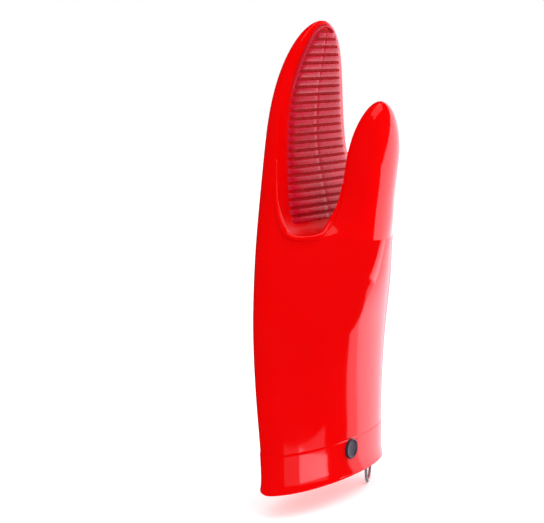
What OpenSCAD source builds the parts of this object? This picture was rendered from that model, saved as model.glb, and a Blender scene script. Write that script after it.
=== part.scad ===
// Silicone oven mitt. A long finger pocket and a shorter thumb pocket close on each other like a
// mouth above one wide cuff. The cuff carries a magnet button and a steel hanging ring.
// Frame: origin at the middle of the cuff's open edge, +Z towards the fingertips,
// +X towards the thumb, Y across the hand.

/* [Mitt] */
// Length from the cuff's edge to the fingertips
mitt_length = 290; // [282:1:298]
// Height of the thumb's tip above the cuff's edge
thumb_height = 241; // [236:1:246]
// Wall thickness of the silicone
wall = 2.5; // [2:0.1:3]

/* [Cuff] */
// Width across the cuff's edge
cuff_w = 128; // [120:1:134]
// Depth through the cuff's edge
cuff_d = 40; // [38:1:44]
// Height of the band round the cuff
band_h = 25; // [23:1:28]
// How far the band stands proud of the palm
band_proud = 0.4; // [0.2:0.1:0.8]
// Height of the turned hem
hem_h = 8; // [5:1:11]
// How far the hem flares outwards
hem_flare = 1.4; // [0.5:0.1:2]

/* [Mouth] */
// Height of the valley between the two pockets
valley_h = 158; // [156:1:160]
// Radius of the valley
valley_r = 9.5; // [8:0.5:10]
// Spacing of the grip bars
bar_pitch = 4.9; // [4.5:0.1:5.5]
// Thickness of a grip bar
bar_w = 2.4; // [1.8:0.1:3]
// Height of a grip bar above the face it stands on
bar_h = 1.2; // [0.8:0.1:1.6]
// Half length of a grip bar as a share of the pocket's half width
bar_reach = 0.76; // [0.6:0.01:0.8]

/* [Magnet button] */
// Diameter of the button's cap
button_d = 13; // [11:0.5:14]
// Thickness of the cap
button_t = 1.8; // [1.4:0.1:2.2]
// Height of the button's centre above the cuff's edge
button_z = 19; // [17:0.5:20]
// Diameter of the stem that goes through the wall
stem_d = 7.2; // [6:0.1:8]
// Diameter of the magnet inside the stem
magnet_d = 5.2; // [4:0.1:5.6]

/* [Hanging ring] */
// Diameter of the ring at the middle of its wire
ring_d = 22; // [20:0.5:23]
// Diameter of the ring's wire
ring_wire = 2; // [1.6:0.1:2.2]
// Direction that the ring faces, turned from +X towards +Y
ring_turn = 24; // [20:1:28]
// Thickness of the lug that holds the ring
lug_t = 2.5; // [2:0.1:3]

/* [Hidden] */

$fn = 64;
// Sides of each cross-section
section_sides = 32;
// Thickness of the slices that a form is drawn through
slice = 0.05;

// Cross-sections of the palm and the fingers: height, back, widest line, half width
body_keys = [
    [0, -cuff_d / 2, 0, cuff_w / 2],
    [band_h, -cuff_d / 2 - 1, -1, cuff_w / 2 + 0.5],
    [60, -25.5, -2, 66],
    [95, -30, -2.5, 65.5],
    [125, -32, -2.5, 63],
    [155, -33, -4, 57.5],
    [185, -33, -9, 48],
    [215, -32.5, -12, 40],
    [250, -29, -10, 39],
    [mitt_length, -24, -3, 40]
];
// Front of the palm: height, X
palm_front_keys = [
    [0, cuff_d / 2],
    [band_h, cuff_d / 2],
    [60, 21],
    [95, 26],
    [125, 33],
    [145, 33],
    [158, 30],
    [170, 23],
    [190, 12]
];
// Grip face of the finger pocket: height, X
finger_front_keys = [
    [140, 9],
    [158, 4],
    [176, 0],
    [212, -7.5],
    [250, -6.5],
    [mitt_length, 4.5]
];
// Cross-sections of the thumb: height, grip face, widest line, outer face, half width
thumb_keys = [
    [80, 0, 8, 20, 42],
    [110, 11, 22, 32, 34],
    [130, 15, 26.5, 39, 30],
    [155, 18, 29, 44, 26],
    [185, 21.5, 32, 47, 23],
    [215, 24.5, 37, 51, 23.5],
    [thumb_height, 28, 40, 54, 23.5]
];
// Squareness of a grip face and of a rounded side
grip_square = 2.8;
round_square = 2;
// Heights at which the tips begin to round over
finger_tip_start = 212;
thumb_tip_start = 198;
// Angles at which a rounded tip is sliced
tip_angles = [15, 30, 45, 58, 69, 78, 86];
// Height of the palm's own form, which ends inside the finger pocket's bend
palm_top = 184;

// Height of the lowest grip bar, how far the highest stays below each tip, and how deep
// the cutters of the bars reach past the grip faces
bars_start = 178;
bars_below_tip = 8.5;
bar_cut = 20;
// How far a bar's cutter begins inside the widest line of its pocket
bar_root = 0.5;

// Middle of the valley across the mouth
valley_x = 11.5;
// Sides of the mouth above the valley, up by the fingers and down by the thumb
mouth_top = mitt_length + 10;
mouth_sides = [[-8, 214], [-8, mouth_top], [valley_x + valley_r, mouth_top]];

// Flex lines: the axes that the pockets bend about, and the radius of each bend
finger_axis = [-15, 0, 150];
finger_flex_r = 30;
thumb_axis = [31, 0, 150];
thumb_flex_r = 24;
flex_gap = 0.3;
// Depth of the blocks that cut a pocket off at its bend
side_depth = 80;

// Outer face of the cuff under the button, and the flat seat cut into it
cuff_face_x = cuff_d / 2 + band_proud;
seat_x = cuff_face_x - 0.3;
// Room round the button's edges in the seats, and round its stem
seat_room = 0.4;
stem_room = 0.1;
button_edge = 0.8;
button_back_d = button_d - 1;
button_back_t = 2.8;
button_back_x = cuff_face_x - wall - stem_room;
stem_end_x = cuff_face_x - wall - 1.7;
magnet_end_x = stem_end_x + 0.3;
magnet_top_x = seat_x + 0.8;

// Eye of the lug, where the ring's wire passes through
ring_eye = [9.5, 39.5, 8.5];
eye_d = ring_wire + 0.7;
lug_r = 3.6;
lug_reach = 4.2;

// ---- curves ----

// Last key at or below a height
function key_below(keys, z) =
    max([for (i = [0 : len(keys) - 2]) keys[i][0] <= z ? i : 0]);

// Slope of one column of keys at one key
function key_slope(keys, i, column) =
    let (before = max(i - 1, 0), after = min(i + 1, len(keys) - 1))
    (keys[after][column] - keys[before][column]) / (keys[after][0] - keys[before][0]);

// Smooth curve through one column of keys
function curve(keys, z, column) =
    let (
        i = key_below(keys, z),
        step = keys[i + 1][0] - keys[i][0],
        t = max(0, (z - keys[i][0]) / step),
        from = keys[i][column],
        to = keys[i + 1][column],
        leave = step * key_slope(keys, i, column),
        arrive = step * key_slope(keys, i + 1, column)
    )
    from + t * (leave + t * (3 * (to - from) - 2 * leave - arrive
        + t * (2 * (from - to) + leave + arrive)));

// How much of its full section a pocket keeps as its tip rounds over
function tip_share(z, start, top) =
    z <= start ? 1 : sqrt(max(0, 1 - pow((z - start) / (top - start), 2)));

// Heights at which a rounded tip is sliced
function tip_heights(start, top) = [for (a = tip_angles) start + (top - start) * sin(a)];

// One cross-section, with its own squareness on each side of its widest line
function section(low, middle, high, half, low_square, high_square) = [
    for (i = [0 : section_sides - 1])
        let (
            a = 360 * i / section_sides,
            square = cos(a) < 0 ? low_square : high_square,
            reach = cos(a) < 0 ? middle - low : high - middle
        )
        [
            middle + reach * sign(cos(a)) * pow(abs(cos(a)), 2 / square),
            half * sign(sin(a)) * pow(abs(sin(a)), 2 / square)
        ]
];

// How far the hem and the band stand out from the palm's form
function cuff_proud(z) =
    (z < hem_h ? hem_flare * pow(1 - max(z, 0) / hem_h, 2) : 0) + (z < band_h ? band_proud : 0);

// ---- forms ----

// Thin slice of a form at one height
module form_slice(z, outline) {
    translate([0, 0, z]) linear_extrude(slice) polygon(outline(z));
}

// Solid drawn through a slice at each height
module loft(heights, outline) {
    for (i = [0 : len(heights) - 2]) {
        hull() {
            form_slice(heights[i], outline);
            form_slice(heights[i + 1], outline);
        }
    }
}

module palm_form(inset) {
    bottom = inset > 0 ? -1 : 0;
    loft(
        [bottom, hem_h / 2, hem_h, band_h, 45, 70, 95, 120, 140, 155, 170, palm_top + inset],
        function (z) let (grow = cuff_proud(z) - inset) section(
            curve(body_keys, z, 1) - grow,
            curve(body_keys, z, 2),
            curve(palm_front_keys, z, 1) + grow,
            curve(body_keys, z, 3) + grow,
            round_square,
            round_square
        )
    );
}

module finger_form(inset) {
    top = mitt_length - inset;
    loft(
        concat([155 - inset, 170, 185, 200, finger_tip_start], tip_heights(finger_tip_start, top)),
        function (z) let (
            share = tip_share(z, finger_tip_start, top),
            middle = curve(body_keys, z, 2)
        ) section(
            middle - share * (middle - curve(body_keys, z, 1) - inset),
            middle,
            middle + share * (curve(finger_front_keys, z, 1) - middle - inset),
            share * (curve(body_keys, z, 3) - inset),
            round_square,
            grip_square
        )
    );
}

module thumb_form(inset) {
    top = thumb_height - inset;
    loft(
        concat([80, 100, 120, 140, 162, 182, thumb_tip_start], tip_heights(thumb_tip_start, top)),
        function (z) let (
            share = tip_share(z, thumb_tip_start, top),
            middle = curve(thumb_keys, z, 2)
        ) section(
            middle - share * (middle - curve(thumb_keys, z, 1) - inset),
            middle,
            middle + share * (curve(thumb_keys, z, 3) - middle - inset),
            share * (curve(thumb_keys, z, 4) - inset),
            grip_square,
            round_square
        )
    );
}

// Space between the two grip faces
module mouth(inset) {
    valley = [
        for (a = [0 : -15 : -180])
            [valley_x + valley_r * cos(a), valley_h + valley_r + valley_r * sin(a)]
    ];
    rotate([90, 0, 0])
        linear_extrude(2 * cuff_w, center = true)
            offset(delta = inset) polygon(concat(valley, mouth_sides));
}

// The palm as a solid, with the root of the thumb and the valley
module palm_solid(inset) {
    difference() {
        union() {
            palm_form(inset);
            thumb_form(inset);
        }
        mouth(inset);
    }
}

// Round bend face about a flex line
module flex_cylinder(axis, r) {
    translate(axis) rotate([90, 0, 0]) cylinder(h = 3 * cuff_w, r = r, center = true, $fn = 72);
}

// Everything beyond the finger pocket's bend
module finger_side(r) {
    difference() {
        translate([valley_x - side_depth, -cuff_w, finger_axis.z])
            cube([side_depth, 2 * cuff_w, mitt_length]);
        flex_cylinder(finger_axis, r);
    }
}

// Everything beyond the thumb pocket's bend
module thumb_side(r) {
    difference() {
        translate([valley_x, -cuff_w, thumb_axis.z])
            cube([side_depth, 2 * cuff_w, mitt_length]);
        flex_cylinder(thumb_axis, r);
    }
}

// Disc about the button's own axis, between two X positions
module button_disc(d, from_x, to_x) {
    translate([from_x, 0, button_z]) rotate([0, 90, 0]) cylinder(h = to_x - from_x, d = d);
}

// Lug without its eye, standing on the ring's eye and turned with the ring
module lug_blank() {
    translate(ring_eye) rotate([0, 0, ring_turn]) rotate([90, 0, 0])
        linear_extrude(lug_t, center = true) union() {
            circle(r = lug_r);
            translate([0, -lug_r]) square([lug_reach, 2 * lug_r]);
        }
}

// ---- silicone moulding ----

// Cuff, band and palm, up to the valley and the two bends
module palm_sleeve() {
    color("red") difference() {
        palm_solid(0);
        palm_solid(wall);
        finger_side(finger_flex_r);
        thumb_side(thumb_flex_r);
        button_disc(button_d + seat_room, seat_x, cuff_d);
        button_disc(stem_d + stem_room, 0, cuff_d);
        button_disc(button_back_d + seat_room, 0, button_back_x);
        lug_blank();
    }
}

module finger_pocket() {
    color("red") intersection() {
        difference() {
            finger_form(0);
            finger_form(wall);
        }
        finger_side(finger_flex_r + flex_gap);
    }
}

module finger_grip_bars() {
    color("firebrick") intersection() {
        difference() {
            finger_form(-bar_h);
            finger_form(0);
        }
        for (z = [bars_start : bar_pitch : mitt_length - bars_below_tip]) {
            half = bar_reach * curve(body_keys, z, 3) * tip_share(z, finger_tip_start, mitt_length);
            translate([curve(body_keys, z, 2) + bar_root, -half, z - bar_w / 2])
                cube([bar_cut, 2 * half, bar_w]);
        }
    }
}

module thumb_pocket() {
    color("red") intersection() {
        difference() {
            thumb_form(0);
            thumb_form(wall);
        }
        thumb_side(thumb_flex_r + flex_gap);
    }
}

module thumb_grip_bars() {
    color("firebrick") intersection() {
        difference() {
            thumb_form(-bar_h);
            thumb_form(0);
        }
        for (z = [bars_start : bar_pitch : thumb_height - bars_below_tip]) {
            half = bar_reach * curve(thumb_keys, z, 4) * tip_share(z, thumb_tip_start, thumb_height);
            translate([curve(thumb_keys, z, 2) - bar_root - bar_cut, -half, z - bar_w / 2])
                cube([bar_cut, 2 * half, bar_w]);
        }
    }
}

// Eye moulded to the inside of the cuff, rooted in its wall
module ring_lug() {
    color("red") difference() {
        lug_blank();
        translate(ring_eye) rotate([0, 0, ring_turn]) rotate([90, 0, 0])
            cylinder(h = 2 * lug_t, d = eye_d, center = true);
    }
}

// ---- magnet button ----

// Cap outside the cuff, with the hollow stem that goes through the wall
module button_cap() {
    flat_r = button_d / 2 - button_edge;
    side_h = button_t - button_edge;
    color("darkslategray") difference() {
        union() {
            translate([seat_x, 0, button_z]) rotate([0, 90, 0]) rotate_extrude() union() {
                square([flat_r, button_t]);
                square([button_d / 2, side_h]);
                translate([flat_r, side_h]) circle(r = button_edge);
            }
            button_disc(stem_d, stem_end_x, seat_x);
        }
        button_disc(magnet_d, stem_end_x - 1, magnet_top_x);
    }
}

module button_magnet() {
    color("silver") button_disc(magnet_d, magnet_end_x, magnet_top_x);
}

// Flange inside the cuff, pressed on to the stem's end
module button_back() {
    color("darkslategray") difference() {
        button_disc(button_back_d, button_back_x - button_back_t, button_back_x);
        button_disc(stem_d, stem_end_x, button_back_x + 1);
    }
}

// ---- hanging ring ----

module hanging_ring() {
    color("gainsboro")
        translate(ring_eye - [0, 0, ring_d / 2]) rotate([0, 0, ring_turn]) rotate([0, 90, 0])
            rotate_extrude() translate([ring_d / 2, 0]) circle(d = ring_wire, $fn = 32);
}

palm_sleeve();
finger_pocket();
finger_grip_bars();
thumb_pocket();
thumb_grip_bars();
ring_lug();
button_cap();
button_magnet();
button_back();
hanging_ring();
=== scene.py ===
"""Silicone oven mitt: one soft glossy moulding with a finger pocket, a thumb pocket and a wide
cuff, grip bars inside its mouth, a magnet button and a steel hanging ring.
Frame: origin at the middle of the cuff's open edge, +Z to the fingertips, +X to the thumb."""

import math

import bmesh
import bpy
from mathutils import Matrix, Quaternion, Vector


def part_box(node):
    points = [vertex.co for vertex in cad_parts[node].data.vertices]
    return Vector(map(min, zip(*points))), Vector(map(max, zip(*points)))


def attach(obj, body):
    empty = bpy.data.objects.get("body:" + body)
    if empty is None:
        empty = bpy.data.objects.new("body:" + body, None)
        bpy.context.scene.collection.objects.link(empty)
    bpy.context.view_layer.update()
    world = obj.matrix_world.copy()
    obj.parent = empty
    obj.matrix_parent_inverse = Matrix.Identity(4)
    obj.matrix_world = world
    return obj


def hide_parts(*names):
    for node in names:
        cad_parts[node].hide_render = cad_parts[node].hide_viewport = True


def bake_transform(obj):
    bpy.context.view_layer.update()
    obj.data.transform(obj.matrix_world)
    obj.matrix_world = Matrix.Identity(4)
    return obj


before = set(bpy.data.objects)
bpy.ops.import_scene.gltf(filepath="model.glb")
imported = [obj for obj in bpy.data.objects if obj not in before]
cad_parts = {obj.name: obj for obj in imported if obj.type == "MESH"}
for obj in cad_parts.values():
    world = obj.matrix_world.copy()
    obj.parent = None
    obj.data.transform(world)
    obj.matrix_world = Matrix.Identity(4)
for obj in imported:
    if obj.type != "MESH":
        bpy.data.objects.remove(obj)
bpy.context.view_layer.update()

MM = 0.001

# ---- sizes of the mitt, in millimetres, as the CAD source gives them ----

WALL = 2.5
BAND_H = 25
BAND_PROUD = 0.4
HEM_H = 8
HEM_FLARE = 1.4
FINGER_TOP = 290
FINGER_TIP_START = 212
THUMB_TOP = 241
THUMB_TIP_START = 198
GRIP_SQUARE = 2.8

# Palm and fingers: height, back, widest line, half width
BODY = [
    (0, -20, 0, 64),
    (25, -21, -1, 64.5),
    (60, -25.5, -2, 66),
    (95, -30, -2.5, 65.5),
    (125, -32, -2.5, 63),
    (155, -33, -4, 57.5),
    (185, -33, -9, 48),
    (215, -32.5, -12, 40),
    (250, -29, -10, 39),
    (290, -24, -3, 40),
]
# Front of the palm, which swells into the root of the thumb: height, X
FRONT = [(0, 20), (25, 20), (60, 21), (95, 26.3), (110, 31.5), (130, 38.5), (155, 44)]
# Grip face of the fingers: height, X
FINGER_FACE = [(140, 9), (158, 4), (176, 0), (212, -7.5), (250, -6.5), (290, 4.5)]
# Thumb: height, grip face, widest line, outer face, half width
THUMB = [
    (80, 0, 8, 20, 42),
    (110, 11, 22, 32, 34),
    (130, 15, 26.5, 39, 30),
    (155, 18, 29, 44, 26),
    (185, 21.5, 32, 47, 23),
    (215, 24.5, 37, 51, 23.5),
    (241, 28, 40, 54, 23.5),
]

# ---- the skin's net of points ----

# Points round the cuff. Point 0 is at the front and point 16 at the back
SIDES = 32
# The lip between the two pockets runs over these points of the ring, and their mirror images
LIP_THUMB, LIP_LOW, LIP_FINGER = 4, 5, 6
# Heights of the rings from the cuff's edge to the foot of the thumb
PALM_LEVELS = [0, 1.2, 4, 8, 14, 20, 24.3, 24.85, 25.25, 25.9, 31, 45, 62, 80, 98, 114, 128, 139, 147]
# Height of the ring that splits into fingers and thumb, by point counted from the front
SPLIT_LEVELS = [154, 154.5, 156, 158.5, 160.5, 158.2, 159.6, 157.5, 156, 155] + [154] * 7
# Width and rise of the soft bead along the lip
LIP_W = 2.4
LIP_RISE = 0.4
# The valley: its middle, its radius, and the directions of its thumb side, bottom and finger side
VALLEY_X, VALLEY_Z, VALLEY_R = 11.5, 167.5, 9.7
VALLEY_ANGLES = [-48, -90, -132]
# Shares of the lip's own distance from the middle at which the grip faces have points
ACROSS = [0.74, 0.5, 0.25, 0, -0.25, -0.5, -0.74]
FINGER_LEVELS = [167, 176, 186, 196, 204, 212]
THUMB_LEVELS = [166.5, 174, 182, 190, 198]
TIP_ANGLES = [12, 24, 36, 47, 58, 68, 77, 85]
POLE_SINK = 0.2
# Where the lip runs as it rises into each pocket's edge: height, X, distance from the middle
FINGER_LIP = [(159.6, 6.5, 52.7), (163.5, 4.5, 52.3), (175, -2.2, 50.5), (185.5, -5.1, 48.3), (205, -8, 42)]
THUMB_LIP = [(160.5, 22.5, 39.3), (165, 22.5, 33), (172, 24, 27.5), (180, 25.5, 24), (200, 27, 22.4)]
# Directions of the thumb's outer points, in degrees from its outer face
THUMB_ANGLES = [0, 28, 55, 80]
# Heights between which the palm's front draws in to the thumb's root, and how much its front and
# its sides draw in
ROOT_START, ROOT_END = 95, 158
ROOT_DRAW_FRONT, ROOT_DRAW_SIDES = 0.6, 0.1
# Heights between which each pocket's edge comes down to the valley's lip. Above them it lies at
# these shares of the grip face's reach and of the half width
FINGER_EDGE_FREE, FINGER_EDGE_LOW = 200, 178
FINGER_EDGE_REACH, FINGER_EDGE_HALF = 0.4, 0.98
THUMB_EDGE_FREE, THUMB_EDGE_LOW = 196, 180
THUMB_EDGE_REACH, THUMB_EDGE_HALF = 0.6, 0.93
# The edge's own width: how much it gains between two heights, and the least share that is left
# for the face inside it
EDGE_GAIN, EDGE_GAIN_START, EDGE_GAIN_END = 3, 178, 206
LEAST_FACE = 0.6
# Above the first height a grip face keeps its own form to its edge. Below the second it comes
# right up to its lip
FACE_FLAT, FACE_RISEN = 196, 172
# Share of the lip's distance at which the valley begins to rise to its lip, and how much of the
# rise it has before it gets there
VALLEY_RISE_START = 0.7
VALLEY_RISE = 0.8

# ---- curves ----


def curve(keys, z, column):
    """Smooth curve through one column of keys."""
    i = max([0] + [k for k in range(len(keys) - 1) if keys[k][0] <= z])

    def slope(k):
        before, after = keys[max(k - 1, 0)], keys[min(k + 1, len(keys) - 1)]
        return (after[column] - before[column]) / (after[0] - before[0])

    step = keys[i + 1][0] - keys[i][0]
    t = max(0, (z - keys[i][0]) / step)
    start, end = keys[i][column], keys[i + 1][column]
    leave, arrive = step * slope(i), step * slope(i + 1)
    return start + t * (
        leave + t * (3 * (end - start) - 2 * leave - arrive + t * (2 * (start - end) + leave + arrive))
    )


def ease(value, start, end):
    """0 before start and 1 after end, with a smooth change between them."""
    t = min(1, max(0, (value - start) / (end - start)))
    return t * t * (3 - 2 * t)


def tip_share(z, start, top):
    return 1 if z <= start else math.sqrt(max(0, 1 - ((z - start) / (top - start)) ** 2))


def tip_levels(start, top):
    return [start + (top - start) * math.sin(math.radians(a)) for a in TIP_ANGLES]


def signed_power(value, power):
    return math.copysign(abs(value) ** power, value)


def cuff_proud(z):
    """How far the hem and the band stand out from the palm."""
    hem = HEM_FLARE * (1 - z / HEM_H) ** 2 if z < HEM_H else 0
    return hem + (BAND_PROUD if z < BAND_H else 0)


# ---- places on the skin ----


def palm_point(i, z, inset=0):
    """Place of ring point i on the cuff and palm. The front draws in towards the thumb's foot."""
    a = 2 * math.pi * i / SIDES
    grow = cuff_proud(z) - inset
    middle, half = curve(BODY, z, 2), curve(BODY, z, 3) + grow
    if math.cos(a) < 0:
        reach = middle - curve(BODY, z, 1) + grow
        return Vector((middle + reach * math.cos(a), half * math.sin(a), z))
    drawn_in = ease(z, ROOT_START, ROOT_END)
    reach = curve(FRONT, z, 1) - middle + grow
    x = middle + reach * max(0, math.cos(a)) ** (1 + ROOT_DRAW_FRONT * drawn_in)
    return Vector((x, half * signed_power(math.sin(a), 1 + ROOT_DRAW_SIDES * drawn_in), z))


def split_point(i, inset, below=0):
    """Place of ring point i on the ring that splits into the two pockets."""
    mirrored = min(i, SIDES - i)
    on_lip = LIP_THUMB <= mirrored <= LIP_FINGER
    place = palm_point(i, SPLIT_LEVELS[mirrored] - below - (inset if on_lip else 0), inset)
    if on_lip and inset == 0 and below == 0:
        place += Vector((0, math.copysign(LIP_RISE, place.y), LIP_RISE))
    return place


def face_x(middle, reach, half, y):
    """X of a grip face at a distance y from its middle line."""
    return middle + reach * max(0, 1 - abs(y / half) ** GRIP_SQUARE) ** (1 / GRIP_SQUARE)


def finger_section(z, inset=0):
    """Widest line, reach to the back, reach to the grip face and half width of the fingers."""
    share = tip_share(z, FINGER_TIP_START, FINGER_TOP - inset)
    middle = curve(BODY, z, 2)
    to_back = share * (middle - curve(BODY, z, 1) - inset)
    to_face = share * (curve(FINGER_FACE, z, 1) - middle - inset)
    return middle, to_back, to_face, share * (curve(BODY, z, 3) - inset)


def thumb_section(z, inset=0):
    """Widest line, reach to the grip face (negative), reach outwards and half width of the thumb."""
    share = tip_share(z, THUMB_TIP_START, THUMB_TOP - inset)
    middle = curve(THUMB, z, 2)
    to_face = share * (curve(THUMB, z, 1) - middle + inset)
    outwards = share * (curve(THUMB, z, 3) - middle - inset)
    return middle, to_face, outwards, share * (curve(THUMB, z, 4) - inset)


def finger_lip(z, inset):
    """X and distance from the middle of the fingers' edge, which begins as the valley's lip."""
    middle, _, to_face, half = finger_section(z, inset)
    low = ease(z, FINGER_EDGE_FREE, FINGER_EDGE_LOW)
    key_z = min(z, FINGER_LIP[-1][0])
    return (
        low * (curve(FINGER_LIP, key_z, 1) - inset) + (1 - low) * (middle + FINGER_EDGE_REACH * to_face),
        low * (curve(FINGER_LIP, key_z, 2) - inset) + (1 - low) * FINGER_EDGE_HALF * half,
    )


def thumb_lip(z, inset):
    """X and distance from the middle of the thumb's edge, which begins as the valley's lip."""
    middle, to_face, _, half = thumb_section(z, inset)
    low = ease(z, THUMB_EDGE_FREE, THUMB_EDGE_LOW)
    key_z = min(z, THUMB_LIP[-1][0])
    return (
        low * (curve(THUMB_LIP, key_z, 1) + inset) + (1 - low) * (middle + THUMB_EDGE_REACH * to_face),
        low * (curve(THUMB_LIP, key_z, 2) - inset) + (1 - low) * THUMB_EDGE_HALF * half,
    )


def face_row(lip_x, lip_y, middle, reach, half, z):
    """Points across a grip face, from the lip on the +Y side to the lip on the -Y side."""
    width = LIP_W + EDGE_GAIN * ease(z, EDGE_GAIN_START, EDGE_GAIN_END)
    edge = max(LEAST_FACE, 1 - width / max(lip_y, LIP_W))
    row = []
    for share in [edge] + ACROSS + [-edge]:
        flat = face_x(middle, reach, half, share * lip_y)
        near_lip = ease(abs(share), ACROSS[0], 1) * ease(z, FACE_FLAT, FACE_RISEN)
        row.append(Vector((flat + near_lip * (lip_x - flat), share * lip_y, z)))
    return row


def finger_ring(z, inset):
    """The fingers' ring: from the lip round the back to the other lip, then across the face."""
    middle, to_back, to_face, half = finger_section(z, inset)
    lip_x, lip_y = finger_lip(z, inset)
    ring = []
    for i in range(LIP_FINGER, SIDES - LIP_FINGER + 1):
        side = 1 if i < SIDES / 2 else -1
        mirrored = min(i, SIDES - i)
        a = math.radians(90 + (mirrored - 8) * 90 / 8)
        if mirrored == LIP_FINGER:
            ring.append(Vector((lip_x, side * lip_y, z)))
        elif mirrored == LIP_FINGER + 1:
            ring.append(Vector(((lip_x + middle) / 2, side * (lip_y + half) / 2, z)))
        else:
            ring.append(Vector((middle + to_back * math.cos(a), side * half * math.sin(a), z)))
    return ring + face_row(lip_x, lip_y, middle, to_face, half, z)[::-1]


def thumb_ring(z, inset):
    """The thumb's ring: from the -Y lip round the outer face to the +Y lip, then across the face."""
    middle, to_face, outwards, half = thumb_section(z, inset)
    lip_x, lip_y = thumb_lip(z, inset)
    ring = []
    for i in range(-LIP_THUMB, LIP_THUMB + 1):
        side = math.copysign(1, i)
        if abs(i) == LIP_THUMB:
            ring.append(Vector((lip_x, side * lip_y, z)))
        else:
            a = math.radians(THUMB_ANGLES[abs(i)])
            ring.append(Vector((middle + outwards * math.cos(a), side * half * math.sin(a), z)))
    return ring + face_row(lip_x, lip_y, middle, to_face, half, z)


# ---- building with bmesh ----


def edges_along(points, closed):
    """The edges that join a row of points."""
    pairs = list(zip(points, points[1:] + points[:1])) if closed else list(zip(points, points[1:]))
    return [next(e for e in a.link_edges if e.other_vert(a) == b) for a, b in pairs]


def draw_on(bm, points, places, closed=True):
    """Extrudes a row of points once, puts the new row at places, and returns it in order."""
    made = bmesh.ops.extrude_edge_only(bm, edges=edges_along(points, closed))["geom"]
    fresh = {v for v in made if isinstance(v, bmesh.types.BMVert)}
    row = [next(e.other_vert(v) for e in v.link_edges if e.other_vert(v) in fresh) for v in points]
    for v, place in zip(row, places):
        v.co = place
    return row


def close_tip(bm, ring, top):
    """Draws the last ring together at its own middle."""
    middle = sum((v.co for v in ring), Vector()) / len(ring)
    crown = Vector((middle.x, 0, top - POLE_SINK))
    pole = draw_on(bm, ring, [crown] * len(ring))
    bmesh.ops.pointmerge(bm, verts=pole, merge_co=crown)


def object_from(bm, name):
    """A smooth-shaded object in metres from a mesh drawn in millimetres."""
    bmesh.ops.scale(bm, vec=(MM, MM, MM), verts=bm.verts)
    for face in bm.faces:
        face.smooth = True
    mesh = bpy.data.meshes.new(name)
    bm.to_mesh(mesh)
    bm.free()
    obj = bpy.data.objects.new(name, mesh)
    bpy.context.scene.collection.objects.link(obj)
    return obj


def spun(name, profile, axis_at, axis, steps=64):
    """A round piece: a profile of (radius, height) turned about an axis through axis_at."""
    bm = bmesh.new()
    turn = Vector((0, 0, 1)).rotation_difference(Vector(axis)).to_matrix().to_4x4()
    points = [bm.verts.new((r, 0, h)) for r, h in profile]
    edges = [bm.edges.new(pair) for pair in zip(points, points[1:])]
    bmesh.ops.spin(
        bm, geom=points + edges, cent=(0, 0, 0), axis=(0, 0, 1), angle=2 * math.pi,
        steps=steps, use_merge=True,
    )
    bmesh.ops.remove_doubles(bm, verts=bm.verts, dist=0.001)
    bmesh.ops.recalc_face_normals(bm, faces=bm.faces)
    bmesh.ops.transform(bm, matrix=Matrix.Translation(axis_at) @ turn, verts=bm.verts)
    return object_from(bm, name)


# ---- the skin ----

# Marks on the skin's faces: which piece they belong to, and whether they line the mouth, where a darker red
# paints the mouth's shade
PALM_SKIN, THUMB_SKIN = 0, 1
MOUTH = 2


def add_valley(bm, split, inset):
    """Draws the web between the two lips and returns its finger row and its thumb row."""
    lips = [LIP_THUMB, LIP_LOW, LIP_FINGER]
    line = [split[i] for i in lips]
    starts = [v.co.copy() for v in line]
    rows = [[], [], []]
    edge = 1 - LIP_W / starts[1].y
    for share in [edge] + ACROSS + [-edge, -1]:
        near_lip = ease(abs(share), VALLEY_RISE_START, 1)
        places = []
        for lip, direction in zip(starts, VALLEY_ANGLES):
            a = math.radians(direction)
            x = VALLEY_X + (VALLEY_R + inset) * math.cos(a)
            z = VALLEY_Z + (VALLEY_R + inset) * math.sin(a)
            level = z + (near_lip if share == -1 else VALLEY_RISE * near_lip) * (lip.z - z)
            places.append(Vector((x + near_lip * (lip.x - x), share * lip.y, level)))
        line = draw_on(bm, line, places, closed=False)
        for row, point in zip(rows, line):
            row.append(point)
    bmesh.ops.weld_verts(bm, targetmap={row[-1]: split[SIDES - i] for i, row in zip(lips, rows)})
    return [row[:-1] for row in rows]


def draw_skin(bm, inset):
    """Draws one surface of the mitt, outer or inner, from the cuff's edge to both tips."""
    circle = bmesh.ops.create_circle(bm, segments=SIDES, radius=1)["verts"]
    ring = sorted(circle, key=lambda v: math.atan2(v.co.y, v.co.x))
    for i, v in enumerate(ring):
        v.co = palm_point(i, PALM_LEVELS[0], inset)
    hem = ring
    for z in PALM_LEVELS[1:]:
        ring = draw_on(bm, ring, [palm_point(i, z, inset) for i in range(SIDES)])
    ring = draw_on(bm, ring, [split_point(i, inset, below=LIP_W) for i in range(SIDES)])
    split = draw_on(bm, ring, [split_point(i, inset) for i in range(SIDES)])
    thumb_row, bottom_row, finger_row = add_valley(bm, split, inset)
    across = len(finger_row)
    mouth = set(thumb_row + bottom_row + finger_row)

    loop = split[LIP_FINGER : SIDES - LIP_FINGER + 1] + finger_row[::-1]
    for z in FINGER_LEVELS + tip_levels(FINGER_TIP_START, FINGER_TOP - inset):
        loop = draw_on(bm, loop, finger_ring(z, inset))
        mouth.update(loop[-across:])
    close_tip(bm, loop, FINGER_TOP - inset)

    before = set(bm.faces)
    loop = split[SIDES - LIP_THUMB :] + split[: LIP_THUMB + 1] + thumb_row
    for z in THUMB_LEVELS + tip_levels(THUMB_TIP_START, THUMB_TOP - inset):
        loop = draw_on(bm, loop, thumb_ring(z, inset))
        mouth.update(loop[-across:])
    close_tip(bm, loop, THUMB_TOP - inset)
    for face in set(bm.faces) - before:
        face.material_index = THUMB_SKIN
    # Faces that line the mouth take a darker red, painted shade for the inside of the mouth
    if inset == 0:
        for face in bm.faces:
            if mouth.issuperset(face.verts):
                face.material_index += MOUTH
    return hem


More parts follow.
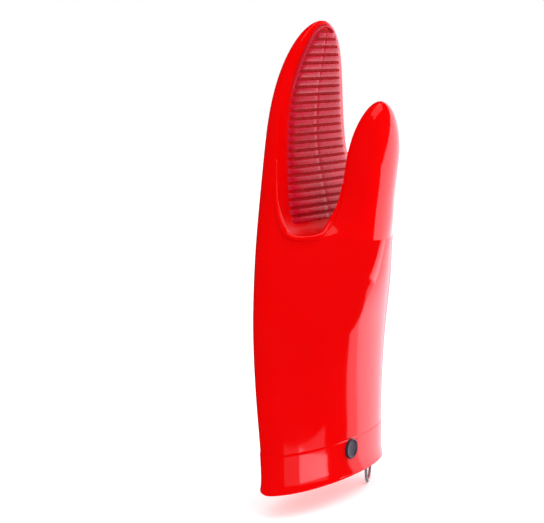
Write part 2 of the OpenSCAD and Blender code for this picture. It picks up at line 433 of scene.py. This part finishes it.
def skin_cage():
    """The mitt's wall as one closed net, outside and inside. The thumb's own faces are marked."""
    bm = bmesh.new()
    outer_hem = draw_skin(bm, 0)
    inner_hem = draw_skin(bm, WALL)
    rims = edges_along(outer_hem, True) + edges_along(inner_hem, True)
    bmesh.ops.bridge_loops(bm, edges=rims)
    bmesh.ops.recalc_face_normals(bm, faces=bm.faces)
    return object_from(bm, "skin")


def skin_piece(whole, name, part):
    """One closed piece of the skin. It keeps the whole skin's shading, so that no seam shows."""
    bm = bmesh.new()
    bm.from_mesh(whole)
    origin = bm.verts.layers.int.new("origin")
    for v in bm.verts:
        v[origin] = v.index
    others = [face for face in bm.faces if face.material_index % MOUTH != part]
    bmesh.ops.delete(bm, geom=others, context="FACES")
    rims = [edge for edge in bm.edges if edge.is_boundary]
    bmesh.ops.bridge_loops(bm, edges=rims)
    normals = [whole.vertices[v[origin]].normal.copy() for v in bm.verts]
    bm.verts.layers.int.remove(bm.verts.layers.int["origin"])
    for face in bm.faces:
        face.smooth = True
        face.material_index //= MOUTH
    mesh = bpy.data.meshes.new(name)
    bm.to_mesh(mesh)
    bm.free()
    mesh.normals_split_custom_set_from_vertices(normals)
    obj = bpy.data.objects.new(name, mesh)
    bpy.context.scene.collection.objects.link(obj)
    return obj


def make_skin():
    """The palm with the fingers, and the thumb, as two pieces that meet below the bends."""
    cage = skin_cage()
    for _ in range(2 * MOUTH):
        cage.data.materials.append(None)
    rounding = cage.modifiers.new("rounding", "SUBSURF")
    rounding.levels = rounding.render_levels = 2
    shown = cage.evaluated_get(bpy.context.evaluated_depsgraph_get())
    whole = bpy.data.meshes.new_from_object(shown)
    bpy.data.objects.remove(cage)
    palm = skin_piece(whole, "palm_and_finger_skin", PALM_SKIN)
    thumb = skin_piece(whole, "thumb_skin", THUMB_SKIN)
    bpy.data.meshes.remove(whole)
    return palm, thumb


# ---- grip bars ----

BAR_PITCH = 4.9
BAR_W = 3.5
BAR_H = 1.3
# Shares of the fingers' half width that the bars reach on the -Y and the +Y side
FINGER_BAR_REACH = (0.76, 0.87)
THUMB_BAR_REACH = 0.5
BARS_START = 168.2
# Shares of a bar's half length at which it has points. Its parting line is a notch in the middle
BAR_STOPS = [0.012, 0.12, 0.27, 0.42, 0.57, 0.72, 0.84, 0.93, 1]
PARTING_NOTCH = 0.07
# Length over which a bar's end sinks into the grip face, and how much of its height it loses
BAR_RUN_OUT = 3.5
BAR_SINK = 0.9
# Rounding of the bars' edges
BAR_EDGE = 0.25
# A bar's cross-section: share of its half width, share of its height
BAR_PROFILE = [(-1, -0.5), (-0.94, 0.7), (-0.7, 1), (0.7, 1), (0.94, 0.7), (1, -0.5)]
# The bed between the bars, a dark sheet that paints the shade there: its height above the grip face and
# below it. It ends short of the bars
BED_PROUD, BED_SUNK = 0.3, 0.4
BED_STOPS = BAR_STOPS[:-1]
# The rim round the upper bars: where it starts and, past its top, ends; its top, its width and
# its rounded cross-section
RIM_START, RIM_END = 243, 279
RIM_TOP = 286.5
RIM_W = 2
RIM_STEPS = 40
# Steps over which each end of the rim sinks into the grip face
RIM_RUN_OUT = 6
RIM_PROFILE = [(-1, -0.5), (-0.92, 0.2), (-0.6, 0.75), (0, 0.95), (0.6, 0.75), (0.92, 0.2), (1, -0.5)]
# Heights below which the bars end
FINGER_BARS_TOP = RIM_TOP - 4
THUMB_BARS_TOP = THUMB_TOP - 9
# Marks on the bars' faces and on the faces of their bed of painted shade
BAR_FACES, SHADE_BED_FACES = 0, 1


def finger_face_x(z, y):
    middle, _, to_face, half = finger_section(z)
    return face_x(middle, to_face, half, y)


def thumb_face_x(z, y):
    middle, to_face, _, half = thumb_section(z)
    return face_x(middle, to_face, half, y)


def finger_bar_end(z, side):
    """Y of a finger bar's end at a height, drawn in under the rim's arch."""
    reach = FINGER_BAR_REACH[0] if side < 0 else FINGER_BAR_REACH[1]
    return side * reach * curve(BODY, z, 3) * tip_share(z, FINGER_TIP_START, RIM_TOP)


def thumb_bar_end(z, side):
    return side * THUMB_BAR_REACH * thumb_section(z)[3]


def start_row(bm, places):
    """A closed row of new points."""
    row = [bm.verts.new(place) for place in places]
    for pair in zip(row, row[1:] + row[:1]):
        bm.edges.new(pair)
    return row


def draw_strip(bm, rows):
    """A closed strip through rows of places, with flat ends."""
    first = row = start_row(bm, rows[0])
    for places in rows[1:]:
        row = draw_on(bm, row, places)
    bmesh.ops.contextual_create(bm, geom=first)
    bmesh.ops.contextual_create(bm, geom=row)


def bar_rows(z, end, surface_x, outwards):
    """One bar, curved along the grip face that it stands on."""
    rows = []
    for share in [-stop for stop in BAR_STOPS[::-1]] + [0] + BAR_STOPS:
        last = end(z, -1 if share < 0 else 1)
        y = abs(share) * last
        height = BAR_H * (1 - BAR_SINK * ease(abs(y), abs(last) - BAR_RUN_OUT, abs(last)))
        if share == 0:
            height = BAR_H * (1 - PARTING_NOTCH)
        row = []
        for across, up in BAR_PROFILE:
            level = z + across * BAR_W / 2
            lift = up * height if up > 0 else up * BAR_H
            row.append(Vector((surface_x(level, y) + outwards * lift, y, level)))
        rows.append(row)
    return rows


def shade_bed_rows(end, surface_x, outwards, top):
    """The bed between the bars, a thin dark skin over the grip face that paints the shade there."""
    rows = []
    start = BARS_START - BAR_W / 2
    steps = int((top - start) / (BAR_PITCH / 2))
    for k in range(steps + 1):
        z = start + (top - start) * k / steps
        one_side = [end(z, -1) * stop for stop in BED_STOPS[::-1]]
        across = one_side + [end(z, 1) * stop for stop in BED_STOPS]
        front = [Vector((surface_x(z, y) + outwards * BED_PROUD, y, z)) for y in across]
        back = [Vector((surface_x(z, y) - outwards * BED_SUNK, y, z)) for y in across]
        rows.append(front + back[::-1])
    return rows


def rim_angle(z):
    """Angle at which the rim's arch passes a height."""
    return math.asin((z - FINGER_TIP_START) / (RIM_TOP - FINGER_TIP_START))


def rim_rows():
    """The rim that joins the upper finger bars' ends and arches over the highest bar."""
    path = []
    start, end = rim_angle(RIM_START), rim_angle(RIM_END)
    for step in range(RIM_STEPS + 1):
        a = math.pi - start - (math.pi - start - end) * step / RIM_STEPS
        z = FINGER_TIP_START + (RIM_TOP - FINGER_TIP_START) * math.sin(a)
        path.append(Vector((0, finger_bar_end(z, math.copysign(1, math.cos(a))), z)))
    rows = []
    for k, place in enumerate(path):
        along = (path[min(k + 1, RIM_STEPS)] - path[max(k - 1, 0)]).normalized()
        side = along.cross(Vector((1, 0, 0)))
        height = BAR_H * ease(min(k, RIM_STEPS - k), -1, RIM_RUN_OUT)
        row = []
        for across, up in RIM_PROFILE:
            at = place + side * across * RIM_W / 2
            lift = up * height if up > 0 else up * BAR_H
            row.append(Vector((finger_face_x(at.z, at.y) + lift, at.y, at.z)))
        rows.append(row)
    return rows


def bar_heights(top):
    count = int((top - BARS_START) / BAR_PITCH) + 1
    return [BARS_START + k * BAR_PITCH for k in range(count)]


def soften(obj, width, segments=2):
    """Rounds a piece's sharp edges."""
    edge = obj.modifiers.new("edges", "BEVEL")
    edge.width = width * MM
    edge.segments = segments
    edge.limit_method = "ANGLE"
    edge.angle_limit = math.radians(40)
    return obj


def make_bars(name, end, surface_x, outwards, top, extra=()):
    """The bars of one grip face on their bed, a dark sheet of painted shade, as one piece with two
    finishes.
    """
    bm = bmesh.new()
    draw_strip(bm, shade_bed_rows(end, surface_x, outwards, top + BAR_W / 2))
    for face in bm.faces:
        face.material_index = SHADE_BED_FACES
    bed = set(bm.faces)
    for z in bar_heights(top):
        draw_strip(bm, bar_rows(z, end, surface_x, outwards))
    for rows in extra:
        draw_strip(bm, rows)
    for face in set(bm.faces) - bed:
        face.material_index = BAR_FACES
    bmesh.ops.recalc_face_normals(bm, faces=bm.faces)
    return soften(object_from(bm, name), BAR_EDGE)


# ---- lip bead ----

BEAD_R = 2.1
# Depth to which the bead's middle is sunk into the lip
BEAD_SUNK = 0.5
BEAD_SIDES = 10
# Heights of the bead's points, up to where it has sunk into each pocket's edge
FINGER_BEAD_LEVELS = [163.5, 167, 171, 176, 182, 189, 197, 206]
THUMB_BEAD_LEVELS = [163, 167, 171, 175, 180, 186, 192]
BEAD_STEPS = 4
BEAD_EASING = 14
# How much of its radius the bead loses towards its risen end, and the share of the way up at
# which that begins
BEAD_THINNING = 0.75
BEAD_THINS_FROM = 0.35
# Each pocket's bead ends inside the other's past the lowest point, at these shares of its radius
BEAD_LAPS = [0.85, 0.5]


def smooth_path(path):
    """Points along a smooth curve through a path, with its corners eased."""
    points = []
    for k in range(len(path) - 1):
        before, after = path[max(k - 1, 0)], path[min(k + 2, len(path) - 1)]
        a, b = path[k], path[k + 1]
        for step in range(BEAD_STEPS):
            t = step / BEAD_STEPS
            bent = (2 * before - 5 * a + 4 * b - after) * t * t
            swung = (3 * a - before - 3 * b + after) * t ** 3
            points.append(0.5 * (2 * a + (b - before) * t + bent + swung))
    points.append(path[-1])
    for _ in range(BEAD_EASING):
        inner = [(a + 2 * b + c) / 4 for a, b, c in zip(points, points[1:], points[2:])]
        points = [points[0]] + inner + [points[-1]]
    return points


def bead_rings(side, pocket):
    """Rings of one pocket's bead on one lip. The whole path runs from the fingers' edge round the
    lowest point to the thumb's edge, and each bead takes its own part of it."""
    path = [Vector((*finger_lip(z, 0), z)) for z in FINGER_BEAD_LEVELS[::-1]]
    path += [split_point(i, 0) for i in (LIP_FINGER, LIP_LOW, LIP_THUMB)]
    path += [Vector((*thumb_lip(z, 0), z)) for z in THUMB_BEAD_LEVELS]
    path = [Vector((p.x, side * (p.y - BEAD_SUNK), p.z - BEAD_SUNK)) for p in smooth_path(path)]
    lowest, last = (len(FINGER_BEAD_LEVELS) + 1) * BEAD_STEPS, len(path) - 1
    risen_end, step = (0, -1) if pocket == "finger" else (last, 1)
    shares = {}
    for k in range(lowest, risen_end + step, step):
        risen = (k - lowest) / (risen_end - lowest)
        shares[k] = 1 - BEAD_THINNING * ease(risen, BEAD_THINS_FROM, 1)
    for n, share in enumerate(BEAD_LAPS):
        shares[lowest - step * (n + 1)] = share
    rings = []
    for k in sorted(shares):
        along = (path[min(k + 1, last)] - path[max(k - 1, 0)]).normalized()
        across = along.cross(Vector((0, side, 0))).normalized()
        up = across.cross(along)
        ring = []
        for n in range(BEAD_SIDES):
            a = 2 * math.pi * n / BEAD_SIDES
            ring.append(path[k] + BEAD_R * shares[k] * (math.cos(a) * across + math.sin(a) * up))
        rings.append(ring)
    return rings


def make_bead(name, pocket):
    """The rounded bead on both lips of one pocket, which thins out as it rises."""
    bm = bmesh.new()
    for side in (1, -1):
        draw_strip(bm, bead_rings(side, pocket))
    bmesh.ops.recalc_face_normals(bm, faces=bm.faces)
    bead = object_from(bm, name)
    rounding = bead.modifiers.new("rounding", "SUBSURF")
    rounding.levels = rounding.render_levels = 1
    return bead


# ---- magnet button ----

BUTTON_Z = 19
BUTTON_OUT = 21.9
BUTTON_R = 6.5
# Inner face of the flange
FLANGE_X = 15


def make_button_cap():
    """Cap with a fine raised rim round a shallow dish."""
    profile = [
        (0, -2.1), (BUTTON_R - 0.5, -2.1), (BUTTON_R - 0.1, -1.8), (BUTTON_R, -1.2), (BUTTON_R, -0.6),
        (BUTTON_R - 0.25, -0.15), (BUTTON_R - 0.6, 0), (BUTTON_R - 0.95, -0.08), (BUTTON_R - 1.2, -0.3),
        (BUTTON_R - 1.6, -0.38), (BUTTON_R - 3.5, -0.45), (0, -0.5),
    ]
    return spun("button_face", profile, Vector((BUTTON_OUT, 0, BUTTON_Z)), (1, 0, 0))


def make_button_back():
    """Flange inside the cuff with rounded edges and the stem's end in its middle."""
    profile = [
        (0, 0.6), (2.4, 0.6), (2.6, 0.4), (3.6, 0.4), (3.7, 0), (5.4, 0), (5.8, 0.15), (6, 0.6),
        (6, 2.7), (0, 2.7),
    ]
    return spun("button_flange", profile, Vector((FLANGE_X, 0, BUTTON_Z)), (1, 0, 0))


# ---- materials ----


def new_material(name, colour, roughness, **uniform):
    """A material with its uniform values on the shader's own sockets."""
    material = bpy.data.materials.new(name)
    material.use_nodes = True
    shader = material.node_tree.nodes["Principled BSDF"]
    shader.inputs["Base Color"].default_value = (*colour, 1)
    shader.inputs["Roughness"].default_value = roughness
    for socket, value in uniform.items():
        shader.inputs[socket.replace("_", " ")].default_value = value
    material.diffuse_color = (*colour, 1)
    return material, shader


def noise(material, scale, detail=2.0, stretch=(1, 1, 1)):
    """Noise on the piece's own coordinates. Scale counts its lumps in a metre."""
    nodes, links = material.node_tree.nodes, material.node_tree.links
    place = nodes.new("ShaderNodeTexCoord")
    mapping = nodes.new("ShaderNodeMapping")
    mapping.inputs["Scale"].default_value = stretch
    texture = nodes.new("ShaderNodeTexNoise")
    texture.inputs["Scale"].default_value = scale
    texture.inputs["Detail"].default_value = detail
    links.new(place.outputs["Object"], mapping.inputs["Vector"])
    links.new(mapping.outputs["Vector"], texture.inputs["Vector"])
    return texture.outputs["Fac"]


def vary(material, shader, socket, source, low, high):
    """Lets a socket vary between two values with a texture."""
    nodes, links = material.node_tree.nodes, material.node_tree.links
    spread = nodes.new("ShaderNodeMapRange")
    spread.inputs["From Min"].default_value = 0.3
    spread.inputs["From Max"].default_value = 0.7
    spread.inputs["To Min"].default_value = low
    spread.inputs["To Max"].default_value = high
    links.new(source, spread.inputs["Value"])
    links.new(spread.outputs["Result"], shader.inputs[socket])


def tint(material, shader, source, dark, light):
    """Lets the colour vary between two tones with a texture."""
    nodes, links = material.node_tree.nodes, material.node_tree.links
    ramp = nodes.new("ShaderNodeValToRGB")
    ramp.color_ramp.elements[0].position = 0.35
    ramp.color_ramp.elements[0].color = (*dark, 1)
    ramp.color_ramp.elements[1].position = 0.65
    ramp.color_ramp.elements[1].color = (*light, 1)
    links.new(source, ramp.inputs["Fac"])
    links.new(ramp.outputs["Color"], shader.inputs["Base Color"])


def emboss(material, shader, source, strength, depth):
    """Raises the surface with a texture. Depth is in millimetres."""
    nodes, links = material.node_tree.nodes, material.node_tree.links
    bump = nodes.new("ShaderNodeBump")
    bump.inputs["Strength"].default_value = strength
    bump.inputs["Distance"].default_value = depth * MM
    links.new(source, bump.inputs["Height"])
    links.new(bump.outputs["Normal"], shader.inputs["Normal"])


def glossy_silicone():
    material, shader = new_material("glossy_red_silicone", (0.84, 0.0003, 0.0006), 0.1, IOR=1.43)
    tint(material, shader, noise(material, 14, 3), (0.81, 0.0002, 0.0005), (0.87, 0.0004, 0.0008))
    vary(material, shader, "Roughness", noise(material, 45, 4), 0.05, 0.085)
    emboss(material, shader, noise(material, 220, 3), 0.1, 0.03)
    return material


def matt_shaded_silicone():
    """The matt finish of the grip faces and the valley between them. Its red is darker than the glossy
    skin's: painted shade for the inside of the mouth.
    """
    material, shader = new_material(
        "matt_shaded_red_silicone", (0.74, 0.0004, 0.001), 0.2, IOR=1.43, Specular_IOR_Level=0.08
    )
    tint(material, shader, noise(material, 30, 3), (0.7, 0.0003, 0.0009), (0.78, 0.0006, 0.0014))
    vary(material, shader, "Roughness", noise(material, 150, 4), 0.16, 0.25)
    emboss(material, shader, noise(material, 900, 3), 0.25, 0.05)
    return material


def shaded_satin_silicone():
    """The finish of the grip bars, whose flat tops catch the light. Their darker crimson is painted shade
    for the inside of the mouth, and the blue in it paints the tint of their highlights.
    """
    material, shader = new_material(
        "shaded_satin_crimson_silicone", (0.54, 0.002, 0.02), 0.24, IOR=1.45, Specular_IOR_Level=0.4
    )
    tint(material, shader, noise(material, 60, 3), (0.5, 0.0015, 0.018), (0.58, 0.003, 0.024))
    vary(material, shader, "Roughness", noise(material, 160, 4), 0.2, 0.32)
    emboss(material, shader, noise(material, 600, 3), 0.3, 0.05)
    return material


def painted_shade_silicone():
    """The bed between the bars, whose dark crimson is painted shade between them."""
    material, shader = new_material(
        "painted_shade_crimson_silicone", (0.42, 0.0006, 0.003), 0.55, IOR=1.43, Specular_IOR_Level=0.1
    )
    tint(material, shader, noise(material, 80, 3), (0.38, 0.0005, 0.002), (0.46, 0.0008, 0.004))
    vary(material, shader, "Roughness", noise(material, 200, 4), 0.5, 0.65)
    emboss(material, shader, noise(material, 1200, 3), 0.3, 0.05)
    return material


def matt_plastic():
    material, shader = new_material("slate_plastic", (0.034, 0.026, 0.046), 0.3, IOR=1.5)
    tint(material, shader, noise(material, 300, 3), (0.03, 0.023, 0.041), (0.04, 0.03, 0.052))
    vary(material, shader, "Roughness", noise(material, 400, 3), 0.26, 0.38)
    emboss(material, shader, noise(material, 1800, 2), 0.3, 0.04)
    return material


def brushed_steel():
    material, shader = new_material("brushed_steel", (0.42, 0.42, 0.44), 0.36, Metallic=0.5)
    vary(material, shader, "Roughness", noise(material, 500, 4, (1, 1, 8)), 0.28, 0.42)
    emboss(material, shader, noise(material, 2500, 3, (1, 1, 6)), 0.15, 0.02)
    return material


def dress(obj, *materials):
    """Gives a piece its finishes. Clearing also resets its faces' marks, so new pieces skip it."""
    if obj.data.materials:
        obj.data.materials.clear()
    for material in materials:
        obj.data.materials.append(material)
    return obj


# ---- camera, floor and light ----

CAMERA_TURN = math.radians(35)
CAMERA_PITCH = math.radians(8.36)
CAMERA_DISTANCE = 965
CAMERA_ASIDE = 33.8
CAMERA_HEIGHT = 138.3
CAMERA_LENS = 100.3
# Tint of the panels' light
ROSE = (1, 0.9, 1)
# Light given off by a square metre of a panel of brightness 1
PANEL_POWER = 4
BACKDROP = 1.0
FLOOR_GLOW = 0.25
FLOOR_HALF = 3000
# How far the floor lies below the hanging ring
FLOOR_GAP = 0.5
ROOM_LIGHT = 1.02
ROOM_MIRRORED = 0.01


def view_axes():
    """The camera's backward, right and upward directions."""
    back = Vector((
        math.sin(CAMERA_TURN) * math.cos(CAMERA_PITCH),
        -math.cos(CAMERA_TURN) * math.cos(CAMERA_PITCH),
        math.sin(CAMERA_PITCH),
    ))
    right = Vector((math.cos(CAMERA_TURN), math.sin(CAMERA_TURN), 0))
    return back, right, back.cross(right)


def add_camera():
    back, right, _ = view_axes()
    data = bpy.data.cameras.new("camera")
    data.lens = CAMERA_LENS
    data.sensor_width = 36
    camera = bpy.data.objects.new("camera", data)
    middle = Vector((0, 0, CAMERA_HEIGHT))
    camera.location = (middle + CAMERA_DISTANCE * back - CAMERA_ASIDE * right) * MM
    camera.rotation_euler = (math.pi / 2 - CAMERA_PITCH, 0, CAMERA_TURN)
    bpy.context.scene.collection.objects.link(camera)
    bpy.context.scene.camera = camera


def add_floor():
    """A pale level floor that catches the object's shadow and stays out of its gloss."""
    bm = bmesh.new()
    bmesh.ops.create_grid(bm, x_segments=1, y_segments=1, size=FLOOR_HALF)
    ring_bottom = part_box("hanging_ring")[0].z / MM
    bmesh.ops.translate(bm, vec=(0, 0, ring_bottom - FLOOR_GAP), verts=bm.verts)
    floor = object_from(bm, "floor")
    material, shader = new_material("pale_floor", (0.97, 0.97, 0.97), 0.6, Specular_IOR_Level=0)
    shader.inputs["Emission Color"].default_value = (1, 1, 1, 1)
    shader.inputs["Emission Strength"].default_value = FLOOR_GLOW
    vary(material, shader, "Roughness", noise(material, 30), 0.5, 0.7)
    floor.visible_glossy = False
    floor.visible_diffuse = False
    floor.visible_shadow = False
    dress(floor, material)


def add_panel(name, turn, heights, distance, brightness, tilt=0, aside=0):
    """A soft upright panel of light that spans two directions and two heights. Directions are
    from the camera's side towards its right, in degrees. Tilt turns it in its own plane, and
    aside slides it along that plane."""
    back, right, _ = view_axes()
    level = Vector((back.x, back.y, 0)).normalized()
    middle, half = math.radians(sum(turn) / 2), math.radians((turn[1] - turn[0]) / 2)
    towards = math.cos(middle) * level + math.sin(middle) * right
    width, height = 2 * distance * math.tan(half) * MM, (heights[1] - heights[0]) * MM
    data = bpy.data.lights.new(name, "AREA")
    data.shape = "RECTANGLE"
    data.size, data.size_y = width, height
    data.energy = brightness * PANEL_POWER * width * height
    data.color = ROSE
    light = bpy.data.objects.new(name, data)
    light.visible_camera = False
    sideways = math.cos(middle) * right - math.sin(middle) * level
    light.location = (distance * towards + aside * sideways + Vector((0, 0, sum(heights) / 2))) * MM
    facing = (-towards).to_track_quat("-Z", "Y")
    light.rotation_euler = (facing @ Quaternion((0, 0, 1), math.radians(tilt))).to_euler()
    bpy.context.scene.collection.objects.link(light)
    return light


def link_light(light, pieces, state):
    """Keeps a panel's light to some pieces (INCLUDE) or away from them (EXCLUDE)."""
    chosen = bpy.data.collections.new(light.name + "_pieces")
    for piece in pieces:
        chosen.objects.link(piece)
    for entry in chosen.collection_objects:
        entry.light_linking.link_state = state
    light.light_linking.receiver_collection = chosen


def add_overhead(side, place, height, brightness):
    """A soft level panel of light above the object. Place is its direction and its distance."""
    back, right, _ = view_axes()
    a = math.radians(place[0])
    towards = math.cos(a) * Vector((back.x, back.y, 0)).normalized() + math.sin(a) * right
    data = bpy.data.lights.new("overhead_panel", "AREA")
    data.size = side * MM
    data.energy = brightness * PANEL_POWER * (side * MM) ** 2
    light = bpy.data.objects.new("overhead_panel", data)
    light.location = (place[1] * towards + Vector((0, 0, height))) * MM
    bpy.context.scene.collection.objects.link(light)


def add_surroundings():
    """A white backdrop, soft even light on the object, and a dark room for its gloss to mirror."""
    world = bpy.data.worlds.new("studio")
    bpy.context.scene.world = world
    world.use_nodes = True
    world.cycles.sampling_method = "NONE"
    nodes, links = world.node_tree.nodes, world.node_tree.links
    nodes.clear()
    path = nodes.new("ShaderNodeLightPath")
    shades = []
    for strength in (ROOM_LIGHT, ROOM_MIRRORED, BACKDROP):
        shade = nodes.new("ShaderNodeBackground")
        shade.inputs["Color"].default_value = (1, 1, 1, 1)
        shade.inputs["Strength"].default_value = strength
        shades.append(shade.outputs["Background"])
    surface = shades[0]
    for ray, shade in (("Is Glossy Ray", shades[1]), ("Is Camera Ray", shades[2])):
        choose = nodes.new("ShaderNodeMixShader")
        links.new(path.outputs[ray], choose.inputs["Fac"])
        links.new(surface, choose.inputs[1])
        links.new(shade, choose.inputs[2])
        surface = choose.outputs["Shader"]
    output = nodes.new("ShaderNodeOutputWorld")
    links.new(surface, output.inputs["Surface"])


add_camera()
add_surroundings()
bpy.context.scene.view_settings.view_transform = "Standard"
palm_panels = [
    add_panel("right_panel", (110, 158), (-400, 700), 900, 0.8),
    add_panel("far_right_panel", (118, 158), (-400, 700), 880, 0.6),
    add_panel("back_panel", (158, 176), (-400, 150), 900, 0.8),
    add_panel("upper_panel", (98, 116), (-4, 130), 300, 1.7),
]
# These two stand close to the cuff, so they only show in its gloss
cuff_panels = [
    add_panel("cuff_window", (73, 107), (-50, -22), 150, 2.2, aside=-60),
    add_panel("cuff_glow", (25, 85), (-52, -14), 160, 0.45),
]
for panel in cuff_panels:
    panel.visible_diffuse = False
thumb_panel = add_panel("thumb_panel", (80, 156), (-724, 776), 700, 2.1, tilt=-51, aside=320)
add_overhead(800, (60, 350), 900, 0.8)
add_floor()

silicone = glossy_silicone()
mouth_silicone = matt_shaded_silicone()
shaded_satin = shaded_satin_silicone()
painted_shade_bed = painted_shade_silicone()
plastic = matt_plastic()
steel = brushed_steel()

palm_skin, thumb_skin = make_skin()
# The mouth's faces take the matt finish, whose darker red is painted shade
dress(palm_skin, silicone, mouth_silicone)
dress(thumb_skin, silicone, mouth_silicone)
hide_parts("palm_sleeve", "finger_pocket")
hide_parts("thumb_pocket")
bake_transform(palm_skin)
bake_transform(thumb_skin)

finger_bars = make_bars("finger_bars", finger_bar_end, finger_face_x, 1, FINGER_BARS_TOP, [rim_rows()])
thumb_bars = make_bars("thumb_bars", thumb_bar_end, thumb_face_x, -1, THUMB_BARS_TOP)
finger_bead = make_bead("finger_lip_bead", "finger")
thumb_bead = make_bead("thumb_lip_bead", "thumb")
# The bars and their bed are darker crimson: painted shade for the inside of the mouth
for bars, node in ((finger_bars, "finger_grip_bars"), (thumb_bars, "thumb_grip_bars")):
    dress(bars, shaded_satin, painted_shade_bed)
    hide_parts(node)
for bead in (finger_bead, thumb_bead):
    dress(bead, silicone)
for piece in (finger_bars, finger_bead):
    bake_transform(piece)
for piece in (thumb_bars, thumb_bead):
    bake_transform(piece)

for piece, node in ((make_button_cap(), "button_cap"), (make_button_back(), "button_back")):
    dress(piece, plastic)
    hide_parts(node)
    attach(piece, "palm")

dress(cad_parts["ring_lug"], silicone)
dress(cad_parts["button_magnet"], steel)
dress(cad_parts["hanging_ring"], steel)

# The thumb has a panel of its own, and the others leave it out
thumb_pieces = [thumb_skin, thumb_bars, thumb_bead]
link_light(thumb_panel, thumb_pieces, "INCLUDE")
for panel in palm_panels + cuff_panels:
    link_light(panel, thumb_pieces, "EXCLUDE")
